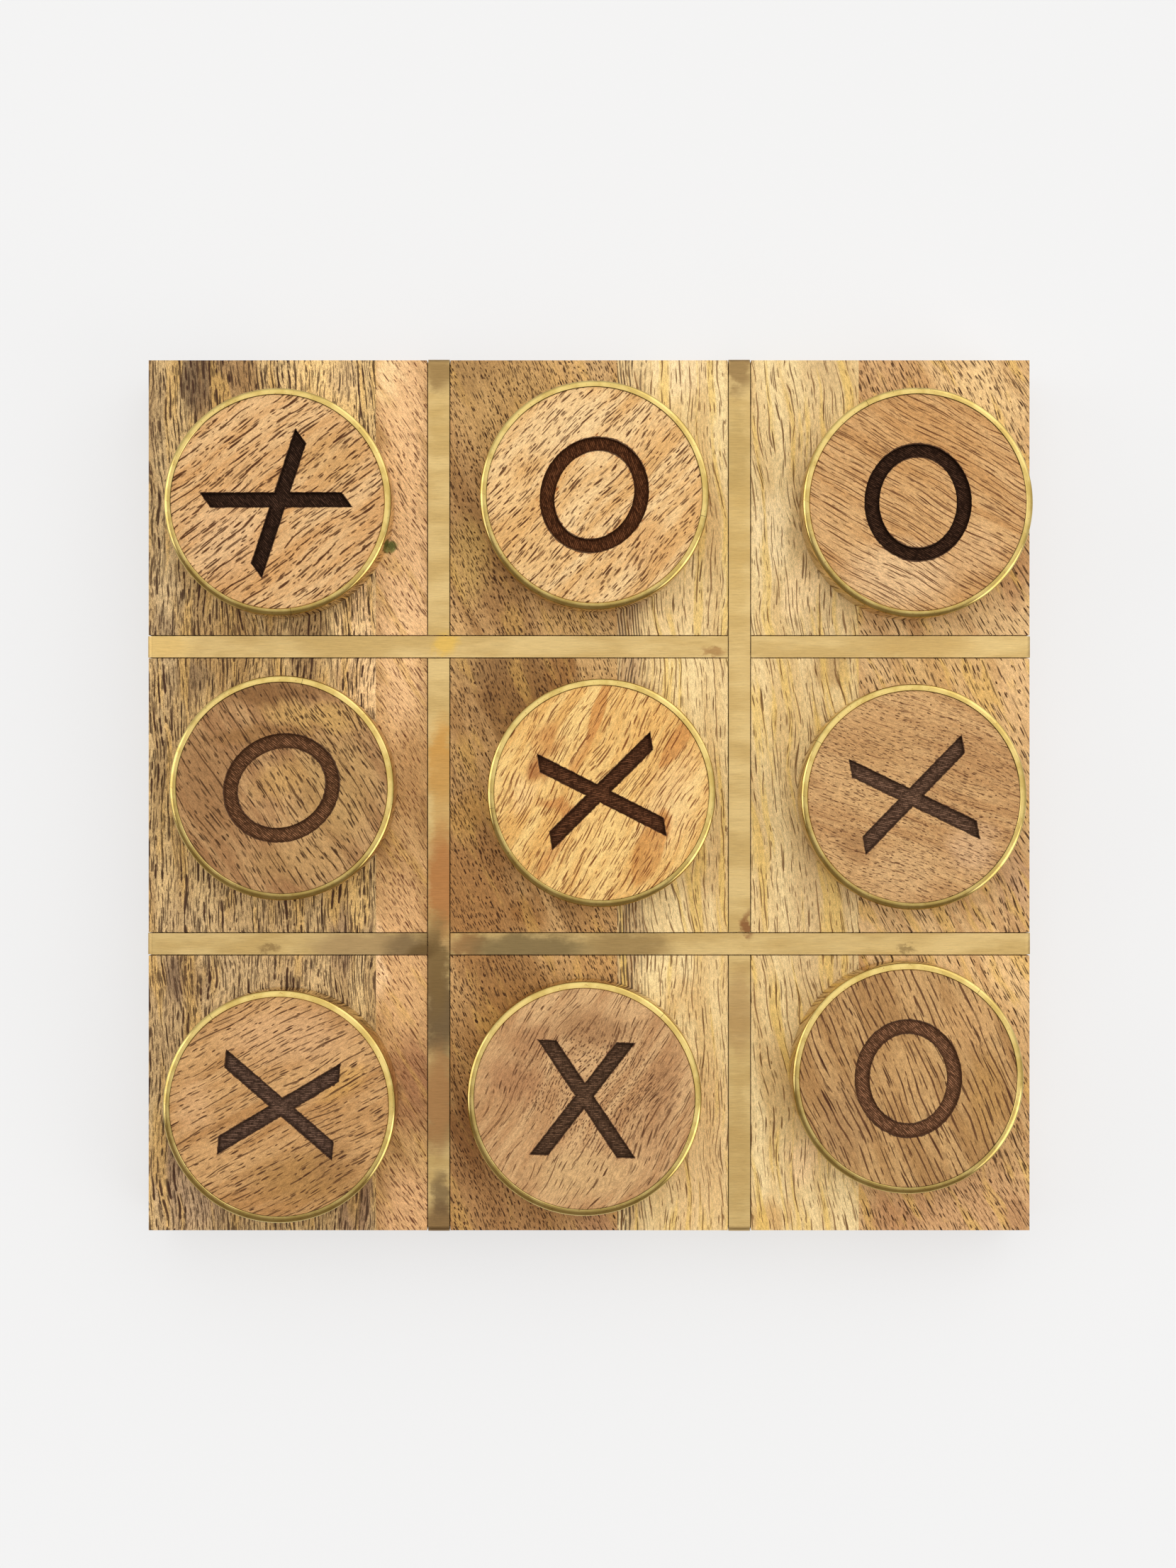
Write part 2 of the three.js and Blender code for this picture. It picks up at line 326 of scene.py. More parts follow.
    def dash_layer(self, colour, strength, *shape, where=None):
        """Dashes whose shape is their pitch, reach, thickness, length, seed and share."""
        mask = self.tree.dashes(self.across, self.dash_along, *shape)
        self.pores(mask, colour, strength, where)

    def thread_layer(self, colour, strength, *shape, where=None):
        """Threads whose shape is their pitch, length, thickness, seed and gap."""
        mask = self.tree.threads(self.across, self.along, *shape)
        self.pores(mask, colour, strength, where)

    def finish(self, roughness=0.5):
        t = self.tree
        depth = t.times(self.fibre, 0.35)
        for mark in self.marks:
            depth = t.math("SUBTRACT", depth, mark)
        t.bump(self.shader, depth, 0.5, PORE_DEPTH)
        t.put(self.shader.inputs["Base Color"], self.colour)
        t.put(self.shader.inputs["Roughness"], t.straight(depth, -1, 0.4, roughness + 0.25, roughness))
        self.shader.inputs["Specular IOR Level"].default_value = 0.12
        return self.material


def stave_1():
    wood = Wood("wood_olive_brown", (182, 147, 98), (216, 181, 126))
    wood.board_grain(0.02, 0.02, 0.0, 4.5)
    wood.base(4.0, 60.0, 3.0)
    wood.zones([
        (-80, -62, 34, 50, (196, 166, 128), 0.45),
        (-85, 98, 11, 17, (160, 124, 82), 0.85),
        (-60, 92, 12, 26, (238, 198, 134), 0.9),
        (-52, 30, 7, 40, (238, 196, 142), 0.95),
        (-66, 34, 6, 10, (150, 116, 76), 0.7),
        (-83, 34, 12, 14, (172, 132, 78), 0.7),
        (-98, 50, 5, 50, (214, 184, 138), 0.6),
        (-54, -88, 8, 26, (146, 112, 84), 0.85),
        (-70, -32, 22, 12, (192, 156, 106), 0.6),
        (-94, -30, 8, 10, (196, 164, 118), 0.6),
        (-92, -92, 12, 14, (184, 152, 122), 0.6),
        (-91, 97, 7, 13, (116, 92, 66), 0.85),
        (-93, -42, 10, 8, (136, 108, 80), 0.9),
        (-98, 37, 5, 9, (150, 122, 88), 0.7),
        (-56, 39, 5, 6, (248, 208, 148), 0.9),
        (-99, 90, 4, 15, (160, 130, 90), 0.6),
        (-92, 26, 6, 7, (144, 114, 78), 0.7),
        (-98, -84, 5, 9, (148, 118, 92), 0.6),
        (-56, 28, 5, 5, (180, 142, 96), 0.7),
        (-91, 28, 8, 5, (142, 114, 80), 0.7),
        (-56, -34, 5, 12, (156, 124, 92), 0.7),
        (-64, -29, 4, 6, (206, 172, 120), 0.7),
        (-78, 96, 5, 8, (154, 116, 72), 0.7),
        (-56, 96, 5, 7, (200, 166, 120), 0.7),
    ])
    wood.tint(wood.streaks(4.2, 34.0, 0.52, 0.68, 21.0), (224, 178, 100), 0.5)
    wood.fibres(0.36)
    t = wood.tree
    heavy = t.straight(wood.streaks(5.0, 40.0, 0.35, 0.6, 11.0), 0, 1, 0.45, 1.0)
    wood.thread_layer((64, 38, 26), 0.97, 1.35, 16.0, 0.46, 5.0, 0.5, where=heavy)
    wood.thread_layer((88, 60, 42), 0.85, 0.85, 9.0, 0.22, 25.0, 0.53)
    wood.dash_layer((64, 42, 28), 0.95, 0.95, 5.4, 0.36, 6.4, 2.0, 0.95)
    wood.dash_layer((66, 46, 32), 0.85, 0.8, 3.4, 0.28, 3.4, 8.0, 0.6)
    return wood.finish()


def stave_2():
    wood = Wood("wood_peach_brown", (168, 125, 76), (206, 162, 106))
    wood.board_grain(0.62, 0.42, -LINE, 4.0)
    wood.base(7.0, 80.0, 7.0)
    wood.zones([
        (-43, 60, 9, 80, (240, 192, 138), 0.95),
        (-43, -40, 9, 40, (216, 168, 114), 0.95),
        (-41, 6, 6, 16, (184, 138, 86), 0.8),
        (-41, -66, 8, 16, (168, 118, 80), 0.85),
        (-16, 88, 22, 20, (198, 158, 98), 0.6),
        (-18, 22, 17, 14, (140, 100, 56), 0.95),
        (-28, 30, 6, 8, (190, 150, 96), 0.7, 30),
        (2, 34, 9, 16, (208, 168, 112), 0.8),
        (-26, -22, 14, 26, (162, 114, 64), 0.85),
        (-16, -58, 24, 30, (156, 110, 60), 0.9),
        (-18, -96, 24, 18, (158, 113, 68), 0.8),
        (2, -34, 8, 14, (200, 152, 94), 0.8),
        (2, -96, 8, 12, (184, 136, 96), 0.7),
        (2, 92, 8, 20, (208, 170, 118), 0.7),
        (-28, 54, 7, 14, (204, 164, 96), 0.75),
        (-28, 8, 5, 8, (200, 156, 86), 0.7),
        (-46, 97, 4, 9, (248, 208, 152), 0.8),
        (-7, 28, 6, 8, (144, 98, 50), 0.8),
        (-14, -28, 7, 7, (152, 102, 50), 0.8),
        (-42, -95, 9, 13, (222, 172, 120), 0.85),
        (-28, -79, 8, 16, (132, 86, 46), 0.75),
        (-28, 97, 7, 8, (164, 126, 76), 0.85),
        (-7, 39, 6, 6, (212, 168, 106), 0.7),
        (-24, 29, 8, 5, (142, 104, 62), 0.7),
        (-28, -4, 6, 7, (192, 144, 76), 0.7),
        (-21, -40, 13, 6, (150, 106, 60), 0.5),
        (-49, -38, 3.5, 14, (244, 200, 148), 0.85),
    ])
    green_stain = [
        (-45.9, 57.2, 2.1, 1.6, (118, 118, 62), 0.95, 15),
        (-45.4, 57.7, 1.2, 0.9, (96, 98, 48), 0.7, 60),
    ]
    wood.zones(green_stain, wander=1.6, core=0.6)
    wood.tint(wood.streaks(5.0, 22.0, 0.56, 0.72, 33.0), (214, 168, 90), 0.4)
    wood.fibres(0.29)
    t = wood.tree
    right_of_line = t.smooth(t.split(wood.place)[0], -LINE - 1, -LINE + 1)
    left_of_line = t.math("SUBTRACT", 1.0, right_of_line)
    wood.dash_layer((108, 62, 40), 0.95, 0.95, 1.9, 0.34, 1.7, 4.0, 1.0, where=left_of_line)
    wood.dash_layer((96, 54, 32), 0.9, 1.7, 3.6, 0.38, 3.2, 19.0, 0.6, where=left_of_line)
    wood.dash_layer((62, 34, 18), 1.0, 0.68, 1.5, 0.36, 1.35, 4.0, 1.05, where=right_of_line)
    wood.dash_layer((58, 34, 20), 0.95, 1.15, 3.0, 0.36, 2.3, 12.0, 0.6, where=right_of_line)
    return wood.finish()


def stave_3():
    wood = Wood("wood_pale_cream", (222, 187, 128), (240, 211, 154))
    wood.board_grain(0.05, 0.12, LINE, 5.0)
    wood.base(6.0, 90.0, 15.0)
    wood.zones([
        (9.5, 40, 6, 90, (196, 160, 116), 0.85),
        (9.5, -60, 6, 60, (188, 152, 106), 0.85),
        (28, 62, 6, 14, (218, 178, 120), 0.6),
        (28, -16, 6, 9, (214, 176, 118), 0.7),
        (24, -80, 14, 30, (224, 182, 126), 0.6),
        (54, 60, 12, 50, (222, 190, 138), 0.7),
        (54, -30, 12, 60, (214, 180, 128), 0.8),
        (44, -64, 6, 14, (208, 170, 112), 0.6),
        (20, 46, 10, 14, (240, 206, 148), 0.85),
        (42, 60, 6, 14, (255, 226, 172), 1.0),
        (49, 48, 5, 8, (250, 216, 160), 0.9),
        (56, 29, 6, 7, (192, 154, 98), 0.8),
        (55, 98, 9, 8, (208, 174, 122), 0.7),
        (20, 98, 10, 9, (246, 216, 166), 0.8),
        (42, -98, 6, 7, (206, 162, 100), 0.85),
        (14, 39, 6, 6, (246, 212, 152), 0.9),
        (22, -47, 6, 8, (216, 176, 116), 0.7),
        (49, -84, 5, 8, (244, 206, 152), 0.85),
    ])
    wood.tint(wood.streaks(3.2, 46.0, 0.53, 0.66, 41.0), (230, 190, 96), 0.55)
    wood.fibres(0.22)
    t = wood.tree
    x = t.split(wood.place)[0]
    left_band = t.smooth(x, 16.0, 10.0)
    wood.thread_layer((84, 64, 46), 0.9, 0.72, 20.0, 0.3, 9.0, 0.44, where=left_band)
    wood.thread_layer((122, 82, 46), 0.8, 2.4, 26.0, 0.26, 29.0, 0.5)
    wood.dash_layer((104, 68, 36), 0.92, 1.5, 7.5, 0.34, 7.6, 6.0, 0.8)
    wood.dash_layer((118, 80, 44), 0.85, 1.2, 3.6, 0.28, 3.0, 16.0, 0.6)
    return wood.finish()


def stave_4():
    wood = Wood("wood_warm_tan", (196, 150, 98), (222, 182, 128))
    wood.board_grain(0.5, 0.5, LINE, 5.0)
    wood.base(7.0, 60.0, 25.0)
    wood.zones([
        (92, 92, 16, 18, (236, 198, 140), 0.75),
        (68, 88, 8, 30, (206, 162, 112), 0.6),
        (97, 52, 6, 14, (192, 142, 94), 0.8),
        (82, 30, 18, 10, (206, 164, 102), 0.5),
        (99, 22, 6, 14, (226, 184, 130), 0.7),
        (98, -20, 6, 12, (196, 154, 114), 0.7),
        (97, -42, 8, 10, (232, 190, 132), 0.8),
        (84, -94, 24, 16, (204, 156, 108), 0.85),
        (70, -98, 10, 10, (186, 134, 88), 0.7),
        (98, -98, 6, 8, (180, 132, 88), 0.7),
        (98, 98, 7, 8, (208, 164, 108), 0.7),
    ])
    wood.tint(wood.streaks(4.0, 16.0, 0.53, 0.68, 51.0), (220, 176, 90), 0.5)
    wood.fibres(0.26)
    t = wood.tree
    near_ends = t.smooth(t.math("ABSOLUTE", t.split(wood.place)[1]), 66.0, 78.0)
    wood.dash_layer((104, 68, 38), 0.9, 0.68, 2.2, 0.27, 2.1, 34.0, 0.9, where=near_ends)
    wood.dash_layer((70, 42, 24), 1.0, 0.95, 2.8, 0.4, 2.4, 14.0, 1.0)
    wood.dash_layer((72, 46, 28), 0.95, 1.5, 5.4, 0.42, 4.6, 24.0, 0.65)
    return wood.finish()


# ---- Letters -----------------------------------------------------------------------------

X_HEIGHT, X_TOP_WIDTH, X_BOTTOM_WIDTH, X_STROKE = 25.9, 21.8, 23.7, 4.05
O_HEIGHT, O_WIDTH, O_SIDE_STROKE, O_TOP_STROKE = 26.4, 24.3, 3.4, 2.85
X_TOP_SPREAD = (X_TOP_WIDTH - X_STROKE) / 2
X_BOTTOM_SPREAD = (X_BOTTOM_WIDTH - X_STROKE) / 2
X_SLOPE = X_HEIGHT / (X_TOP_SPREAD + X_BOTTOM_SPREAD)
X_CROSSING = X_HEIGHT / 2 - X_SLOPE * X_TOP_SPREAD
O_STEPS = 64
LETTER_REACH = 19.0

# The burner ruled the letter's floor in lines RULE_PITCH apart, then again at RULE_CROSSING.
RULE_PITCH, RULE_CROSSING = 0.4, 82
SCORCH = (54, 30, 18)
# The top BRIM_DEPTH of the letter's walls is painted brown and goes dark below it: painted shade in the
# recess.
BRIM, BRIM_DEPTH = (96, 56, 32), 0.25


def letter_distance(t, place, token):
    """How far a point is outside the letter's outline, and below 0 inside it."""
    x, y = t.ahead_and_left(place, token["turn"])
    if token["mark"] == "X":
        arm = t.times(t.math("ABSOLUTE", t.math("SUBTRACT", y, X_CROSSING)), 1 / X_SLOPE)
        level = t.math("ABSOLUTE", t.math("SUBTRACT", t.math("ABSOLUTE", x), arm))
        square = math.cos(math.atan(1 / X_SLOPE))
        beside = t.times(t.math("SUBTRACT", level, X_STROKE / 2), square)
        beyond = t.math("SUBTRACT", t.math("ABSOLUTE", y), X_HEIGHT / 2)
        return t.math("MAXIMUM", beside, beyond)
    radius = t.vector("LENGTH", t.xyz(x, y))
    middle_x, middle_y = (O_WIDTH - O_SIDE_STROKE) / 2, (O_HEIGHT - O_TOP_STROKE) / 2
    share = t.vector("LENGTH", t.xyz(t.math("DIVIDE", x, middle_x), t.math("DIVIDE", y, middle_y)))
    beside = t.math("ABSOLUTE", t.math("SUBTRACT", radius, t.math("DIVIDE", radius, share)))
    return t.math("SUBTRACT", beside, (O_SIDE_STROKE + O_TOP_STROKE) / 4)


def singe_edges(wood, token):
    """A scorched line round the letter and a brown, uneven glow outside it."""
    t, reach = wood.tree, token["reach"]
    distance = letter_distance(t, wood.place, token)
    shake = t.noise(t.vector("MULTIPLY", wood.place, (1.1, 1.1, 1.1)), 3.0, 0.6)
    edge = t.math("MULTIPLY_ADD", t.math("SUBTRACT", shake, 0.4), reach * 4, 0.1)
    glow = t.math("DIVIDE", t.math("SUBTRACT", edge, distance), reach * 1.5)
    wood.tint(t.smooth(glow, 0.0, 1.0), token["singe"], 0.6)
    wood.tint(t.smooth(t.math("MULTIPLY_ADD", shake, -0.4, distance), 0.02, -0.14), SCORCH, 0.9)


def disc_char(name, token):
    """The engraved floor and walls: nearly black, ruled across by the passes of the burner, with painted
    shade towards the walls and down them.
    """
    material, t, shader = new_material("char_" + name)
    place = t.position()
    distance = letter_distance(t, place, token)
    rules = []
    for heading in (token["hatch"], token["hatch"] + RULE_CROSSING):
        ruled, crossed = t.ahead_and_left(place, heading)
        wobble = t.noise(t.at(ruled, crossed, 1.5, 0.4), 2.0)
        phase = t.math("MULTIPLY_ADD", ruled, 2 * math.pi / RULE_PITCH, t.times(wobble, 3.0))
        wave = t.math("SINE", phase)
        broken = t.noise(t.at(ruled, crossed, 1.9, 0.6), 3.0, 0.7)
        rules.append(t.times(t.straight(wave, -0.6, 1.0), t.smooth(broken, 0.38, 0.66)))
    rule = t.math("MAXIMUM", rules[0], t.times(rules[1], 0.3))
    dark = paint(*[v * 0.74 for v in token["floor"]])
    light = paint(*[v * 1.5 + 26 for v in token["floor"]])
    colour = t.blend(rule, dark, light)
    # Painted shade: the floor goes dark near the walls, where the ruling fades out.
    colour = t.blend(t.smooth(distance, -0.8, -0.1, 0.0, 0.7), colour, dark)
    # Painted shade: the walls go from BRIM brown at the top to dark lower down.
    z = t.split(place)[2]
    brim = t.smooth(z, DISC_TOP - BRIM_DEPTH, DISC_TOP, 0.0, 0.6)
    colour = t.blend(brim, colour, paint(*BRIM))
    t.put(shader.inputs["Base Color"], colour)
    shader.inputs["Roughness"].default_value = 0.8
    shader.inputs["Specular IOR Level"].default_value = 0.04
    t.bump(shader, rule, 0.6, 0.08)
    return material


# Each token has a letter, the letter's turn, and the heading of its hoop's seam. Each disc is turned
# from another offcut, so each has its own colours, grain, patches and pores. Zones and bands are
# rows for Wood.zones, and dashes and threads are rows for Wood.dash_layer and Wood.thread_layer.
# Gathered dashes begin with the patch that they keep to. The letter has the colour of its floor,
# the heading of the burner's passes, and the colour and reach of its singe.
TOKENS = {
    "back_left": dict(
        mark="X", turn=-54, seam=277,
        tones=((208, 156, 98), (226, 182, 127)), heading=37, sway=3.0, fibre=0.24,
        zones=[
            (-12, -8, 12, 14, (226, 182, 132), 0.6),
            (12, 10, 12, 10, (204, 158, 98), 0.5),
        ],
        dashes=[
            ((78, 42, 18), 1.0, 1.5, 5.0, 0.5, 5.6, 3, 0.9),
            ((84, 48, 22), 0.95, 1.1, 2.4, 0.36, 2.0, 9, 0.8),
        ],
        threads=[((84, 46, 20), 0.95, 2.3, 15.0, 0.34, 31, 0.5)],
        floor=(44, 26, 15), hatch=40, singe=(150, 98, 52), reach=0.3,
    ),
    "back_centre": dict(
        mark="O", turn=-25, seam=349,
        tones=((222, 172, 108), (240, 200, 142)), heading=47, sway=4.0, fibre=0.23,
        zones=[
            (-6, 16, 16, 10, (242, 204, 148), 0.7, 20),
            (-14, -12, 10, 10, (226, 176, 110), 0.6),
            (13, -12, 9, 9, (214, 162, 100), 0.7),
            (-20, 0, 6, 8, (246, 202, 140), 0.6),
        ],
        dashes=[
            ((84, 44, 18), 1.0, 1.25, 4.4, 0.44, 4.6, 5, 0.95),
            ((96, 54, 24), 0.95, 0.95, 2.2, 0.34, 1.9, 15, 0.9),
        ],
        threads=[((120, 72, 34), 0.8, 2.6, 18.0, 0.22, 33, 0.54)],
        floor=(74, 39, 17), hatch=20, singe=(206, 120, 48), reach=1.3,
    ),
    "back_right": dict(
        mark="O", turn=0, seam=117,
        tones=((196, 146, 90), (214, 168, 112)), heading=-30, sway=3.0, fibre=0.25,
        zones=[
            (-4, -16, 18, 10, (230, 190, 140), 0.8),
            (13, -11, 8, 8, (218, 174, 122), 0.7),
            (4, 14, 18, 12, (196, 144, 86), 0.6),
        ],
        dashes=[
            ((100, 56, 28), 0.95, 1.05, 9.0, 0.26, 8.4, 7, 0.9),
            ((96, 54, 28), 0.9, 1.3, 4.4, 0.3, 3.4, 17, 0.6),
        ],
        threads=[((104, 60, 30), 0.9, 1.1, 26.0, 0.2, 35, 0.48)],
        floor=(46, 26, 14), hatch=60, singe=(150, 100, 56), reach=0.3,
    ),
    "middle_left": dict(
        mark="O", turn=-65, seam=79,
        tones=((158, 114, 72), (192, 150, 100)), heading=-56, sway=3.0, fibre=0.26,
        zones=[
            (-17, 0, 10, 20, (152, 110, 68), 0.85, 15),
            (12, 0, 14, 20, (182, 144, 86), 0.6),
            (-2, 21.5, 18, 4.5, (132, 92, 52), 0.9, 4),
            (7, 16, 16, 4.5, (196, 154, 90), 0.9, -6),
            (-4, 12, 18, 3.0, (146, 104, 58), 0.8, 6),
            (0, 2, 8, 6, (196, 152, 90), 0.7, 20),
            (4, -17, 16, 7, (182, 142, 88), 0.6),
        ],
        gathered=[
            ((8, 13, 19, 10), (68, 42, 22), 0.95, 0.95, 2.1, 0.42, 2.2, 22, 1.4),
        ],
        dashes=[
            ((60, 36, 18), 0.95, 1.25, 3.2, 0.42, 2.5, 2, 0.95),
            ((68, 42, 22), 0.9, 1.2, 7.0, 0.32, 6.5, 12, 0.65),
        ],
        threads=[((84, 54, 28), 0.85, 1.8, 18.0, 0.28, 37, 0.52)],
        floor=(98, 63, 38), hatch=50, singe=(120, 80, 50), reach=0.25,
    ),
    "middle_centre": dict(
        mark="X", turn=99, seam=188,
        tones=((224, 172, 98), (242, 200, 126)), heading=60, sway=5.0, fibre=0.23,
        zones=[
            (16, -2, 9, 16, (242, 202, 140), 0.6, -20),
            (-14, 5.5, 3.5, 5, (160, 96, 50), 0.75),
            (-9, -3.5, 8, 2.2, (190, 122, 62), 0.7, -28),
            (14, -7, 3, 4, (196, 128, 66), 0.6, 40),
            (-12, 12, 5, 5, (200, 140, 76), 0.8),
            (-18, 0, 4, 6, (248, 206, 140), 0.7),
        ],
        bands=[
            (-0.5, 19, 1.6, 10, (200, 134, 66), 0.8, -20),
            (-4, 10, 1.2, 10, (206, 142, 76), 0.6, -28),
            (17.5, 12, 2.2, 8, (202, 138, 72), 0.8, -32),
            (11, -13, 3.6, 10, (200, 138, 70), 0.8, -22),
            (-11, -13, 1.4, 9, (204, 142, 78), 0.6, -30),
        ],
        dashes=[
            ((122, 66, 28), 1.0, 1.05, 5.4, 0.32, 6.6, 4, 0.95),
            ((140, 82, 38), 0.85, 1.0, 2.8, 0.26, 2.8, 14, 0.7),
        ],
        threads=[((122, 70, 32), 0.85, 2.4, 14.0, 0.24, 39, 0.54)],
        floor=(75, 42, 22), hatch=100, singe=(178, 110, 58), reach=0.35,
    ),
    "middle_right": dict(
        mark="X", turn=100, seam=150,
        tones=((184, 138, 88), (208, 164, 110)), heading=-20, sway=3.0, fibre=0.26,
        zones=[
            (-2, -17, 13, 8, (212, 170, 118), 0.7, 10),
            (-10, 12, 14, 10, (188, 142, 90), 0.6),
            (13, -12, 8, 8, (214, 172, 126), 0.8),
            (-13, -11, 6, 6, (166, 122, 76), 0.8),
        ],
        dashes=[
            ((84, 48, 28), 0.92, 0.68, 1.6, 0.27, 1.35, 6, 0.95),
            ((104, 64, 39), 0.7, 1.0, 3.4, 0.24, 3.0, 18, 0.6),
        ],
        threads=[((112, 68, 40), 0.7, 1.5, 12.0, 0.2, 41, 0.55)],
        floor=(88, 62, 45), hatch=80, singe=(120, 80, 54), reach=0.3,
    ),
    "front_left": dict(
        mark="X", turn=-95, seam=127,
        tones=((178, 130, 78), (204, 158, 104)), heading=28, sway=3.5, fibre=0.25,
        zones=[
            (2, 16, 20, 9, (212, 166, 116), 0.8),
            (6, -16, 18, 9, (168, 124, 70), 0.85),
            (14, 5, 8, 4, (206, 156, 84), 0.6, 25),
            (13, -12, 8, 8, (154, 112, 66), 0.6),
            (-19, 0, 6, 9, (212, 166, 116), 0.6),
        ],
        dashes=[
            ((72, 40, 22), 0.97, 1.15, 3.0, 0.38, 2.6, 8, 0.85),
            ((84, 50, 28), 0.85, 1.4, 7.0, 0.34, 6.0, 28, 0.6),
        ],
        threads=[((86, 54, 30), 0.85, 2.0, 24.0, 0.28, 43, 0.52)],
        floor=(80, 57, 43), hatch=90, singe=(120, 82, 52), reach=0.25,
    ),
    "front_centre": dict(
        mark="X", turn=-2, seam=47,
        tones=((182, 136, 90), (208, 166, 116)), heading=58, sway=7.0, fibre=0.25,
        zones=[
            (-16, 4, 11, 7, (172, 124, 82), 0.85, -12),
            (-12, 13, 8, 6, (166, 118, 76), 0.75, 16),
            (0, -17, 18, 8, (206, 166, 114), 0.85),
            (17, -2, 6, 16, (168, 122, 80), 0.6, -10),
            (2, 16, 13, 7, (162, 118, 76), 0.8),
        ],
        gathered=[
            ((1, 3, 22, 19), (84, 48, 26), 0.97, 0.62, 1.1, 0.3, 0.95, 10, 1.3),
            ((17, -8, 12, 18), (86, 52, 30), 0.9, 0.9, 5.0, 0.36, 4.6, 40, 1.2),
        ],
        dashes=[
            ((82, 48, 26), 0.95, 1.2, 4.0, 0.32, 3.8, 30, 0.6),
        ],
        threads=[((104, 66, 38), 0.8, 1.9, 20.0, 0.24, 45, 0.54)],
        floor=(81, 56, 38), hatch=92, singe=(150, 84, 50), reach=0.45,
    ),
    "front_right": dict(
        mark="O", turn=0, seam=51,
        tones=((170, 127, 77), (196, 154, 100)), heading=-66, sway=2.5, fibre=0.25,
        zones=[
            (18, -4, 7, 14, (180, 136, 78), 0.85),
            (13, 12, 9, 8, (206, 160, 104), 0.7),
            (-14, -10, 9, 14, (166, 126, 82), 0.6),
            (0, 2, 9, 10, (202, 158, 102), 0.6),
        ],
        dashes=[
            ((70, 38, 22), 0.95, 1.4, 8.0, 0.4, 7.0, 12, 0.75),
            ((89, 54, 32), 0.7, 1.25, 3.4, 0.3, 2.6, 32, 0.5),
        ],
        threads=[((88, 52, 30), 0.9, 1.5, 22.0, 0.32, 47, 0.48)],
        floor=(108, 71, 46), hatch=45, singe=(110, 70, 46), reach=0.25,
    ),
}


def disc_wood(name, token):
    wood = Wood("token_wood_" + name, *token["tones"], WOOD_LIGHT)
    wood.disc_grain(token["heading"], token["sway"])
    wood.base(4.0, 40.0, token["heading"])
    wood.zones(token["zones"], 5.0)
    wood.zones(token.get("bands", []), 3.0, 0.75)
    wood.fibres(token["fibre"])
    for thread in token["threads"]:
        wood.thread_layer(*thread)
    for dash in token["dashes"]:
        wood.dash_layer(*dash)
    for patch, *dash in token.get("gathered", []):
        wood.dash_layer(*dash, where=wood.tree.patch(wood.soft_place(5.0), *patch))
    singe_edges(wood, token)
    return wood.finish(0.48)


# ---- Brass -------------------------------------------------------------------------------

BRUSHING_DEPTH = 0.02

# Tarnish on the strips: warm copper, smoky brown and grey-green patches, near the crossings.
BRASS_PATCHES = [
    (-34.6, 99, 5, 9, (146, 116, 72), 0.85),
    (34.6, 99, 5, 9, (142, 112, 70), 0.85),
    (76, LINE, 18, 6, (196, 160, 98), 0.7),
    (-34, 8, 4.5, 13, (200, 146, 72), 0.8),
    (34.5, -50, 5, 14, (176, 140, 90), 0.7),
    (-52, -35, 18, 6, (168, 138, 94), 0.85),
    (-41, -35.5, 9, 6, (132, 108, 74), 0.9),
    (-34.6, -50, 6, 18, (120, 98, 68), 1.0),
    (-34.6, -72, 6, 14, (140, 108, 72), 0.8),
    (-34.6, -99, 5, 8, (126, 94, 60), 0.8),
    (-98, LINE, 9, 6, (232, 200, 134), 0.7),
    (-33, 35, 4.5, 3.5, (220, 180, 92), 0.9, 35),
    (29, 33.5, 4, 1.6, (150, 104, 60), 0.6),
    (-34, -2, 4, 16, (196, 152, 88), 0.6),
    (-33.5, -20, 6, 18, (176, 118, 68), 0.9),
    (-35.5, -40, 5, 16, (126, 100, 62), 0.9),
    (-39, -36.5, 6, 3, (110, 86, 52), 0.85, 25),
    (-28, -35, 6, 4, (158, 112, 68), 0.85),
    (-14, -35.5, 22, 6, (126, 106, 70), 0.9),
    (9, -35, 14, 6, (152, 124, 78), 0.85),
    (-35, -70, 5, 16, (176, 130, 82), 0.8),
    (-34, -92, 3, 8, (110, 86, 60), 0.7),
    (36.6, -30, 2.2, 4, (130, 80, 48), 0.85),
    (73, -35.5, 3.5, 1.2, (120, 96, 60), 0.6),
    (-74, -35.5, 3.5, 1.2, (124, 96, 60), 0.6),
    (34, 60, 4, 30, (196, 162, 98), 0.5),
    (34, -80, 4, 24, (190, 156, 96), 0.5),
    (34, 80, 5, 14, (180, 150, 92), 0.6),
    (-34, 84, 5, 9, (188, 156, 96), 0.6),
    (-98, LINE, 7, 5, (214, 178, 108), 0.6),
]


def strip_brass():
    material, t, shader = new_material("inlay_brass")
    place = t.position()
    x, y, z = t.split(place)
    brushed = t.noise(t.at(x, t.math("ADD", y, z), 0.22, 4.5), 5.0, 0.9)
    cloud = t.noise(t.vector("MULTIPLY", place, (0.03, 0.12, 0.1)), 3.0, 0.6)
    colour = t.blend(t.smooth(cloud, 0.35, 0.65), metal(198, 166, 106), metal(216, 186, 126))
    shaken = t.noise(t.vector("MULTIPLY", place, (0.16, 0.22, 0.2)), 4.0, 0.7)
    push = t.times(t.math("SUBTRACT", shaken, 0.5), 6.0)
    shaken_place = t.vector("ADD", place, t.xyz(push, push))
    flat_place = t.vector("MULTIPLY", shaken_place, (1, 1, 0))
    for px, py, reach_x, reach_y, tarnish, strength, *turn in BRASS_PATCHES:
        mask = t.patch(flat_place, px, py, reach_x, reach_y, *turn, core=0.35)
        colour = t.blend(t.times(mask, strength), colour, metal(*tarnish))
    colour = t.darker_or_lighter(colour, t.straight(brushed, 0.3, 0.7, 0.78, 1.18))
    t.put(shader.inputs["Base Color"], colour)
    shader.inputs["Metallic"].default_value = 1.0
    t.put(shader.inputs["Roughness"], t.straight(brushed, 0.2, 0.8, 0.36, 0.52))
    t.bump(shader, brushed, 0.3, BRUSHING_DEPTH)
    return material


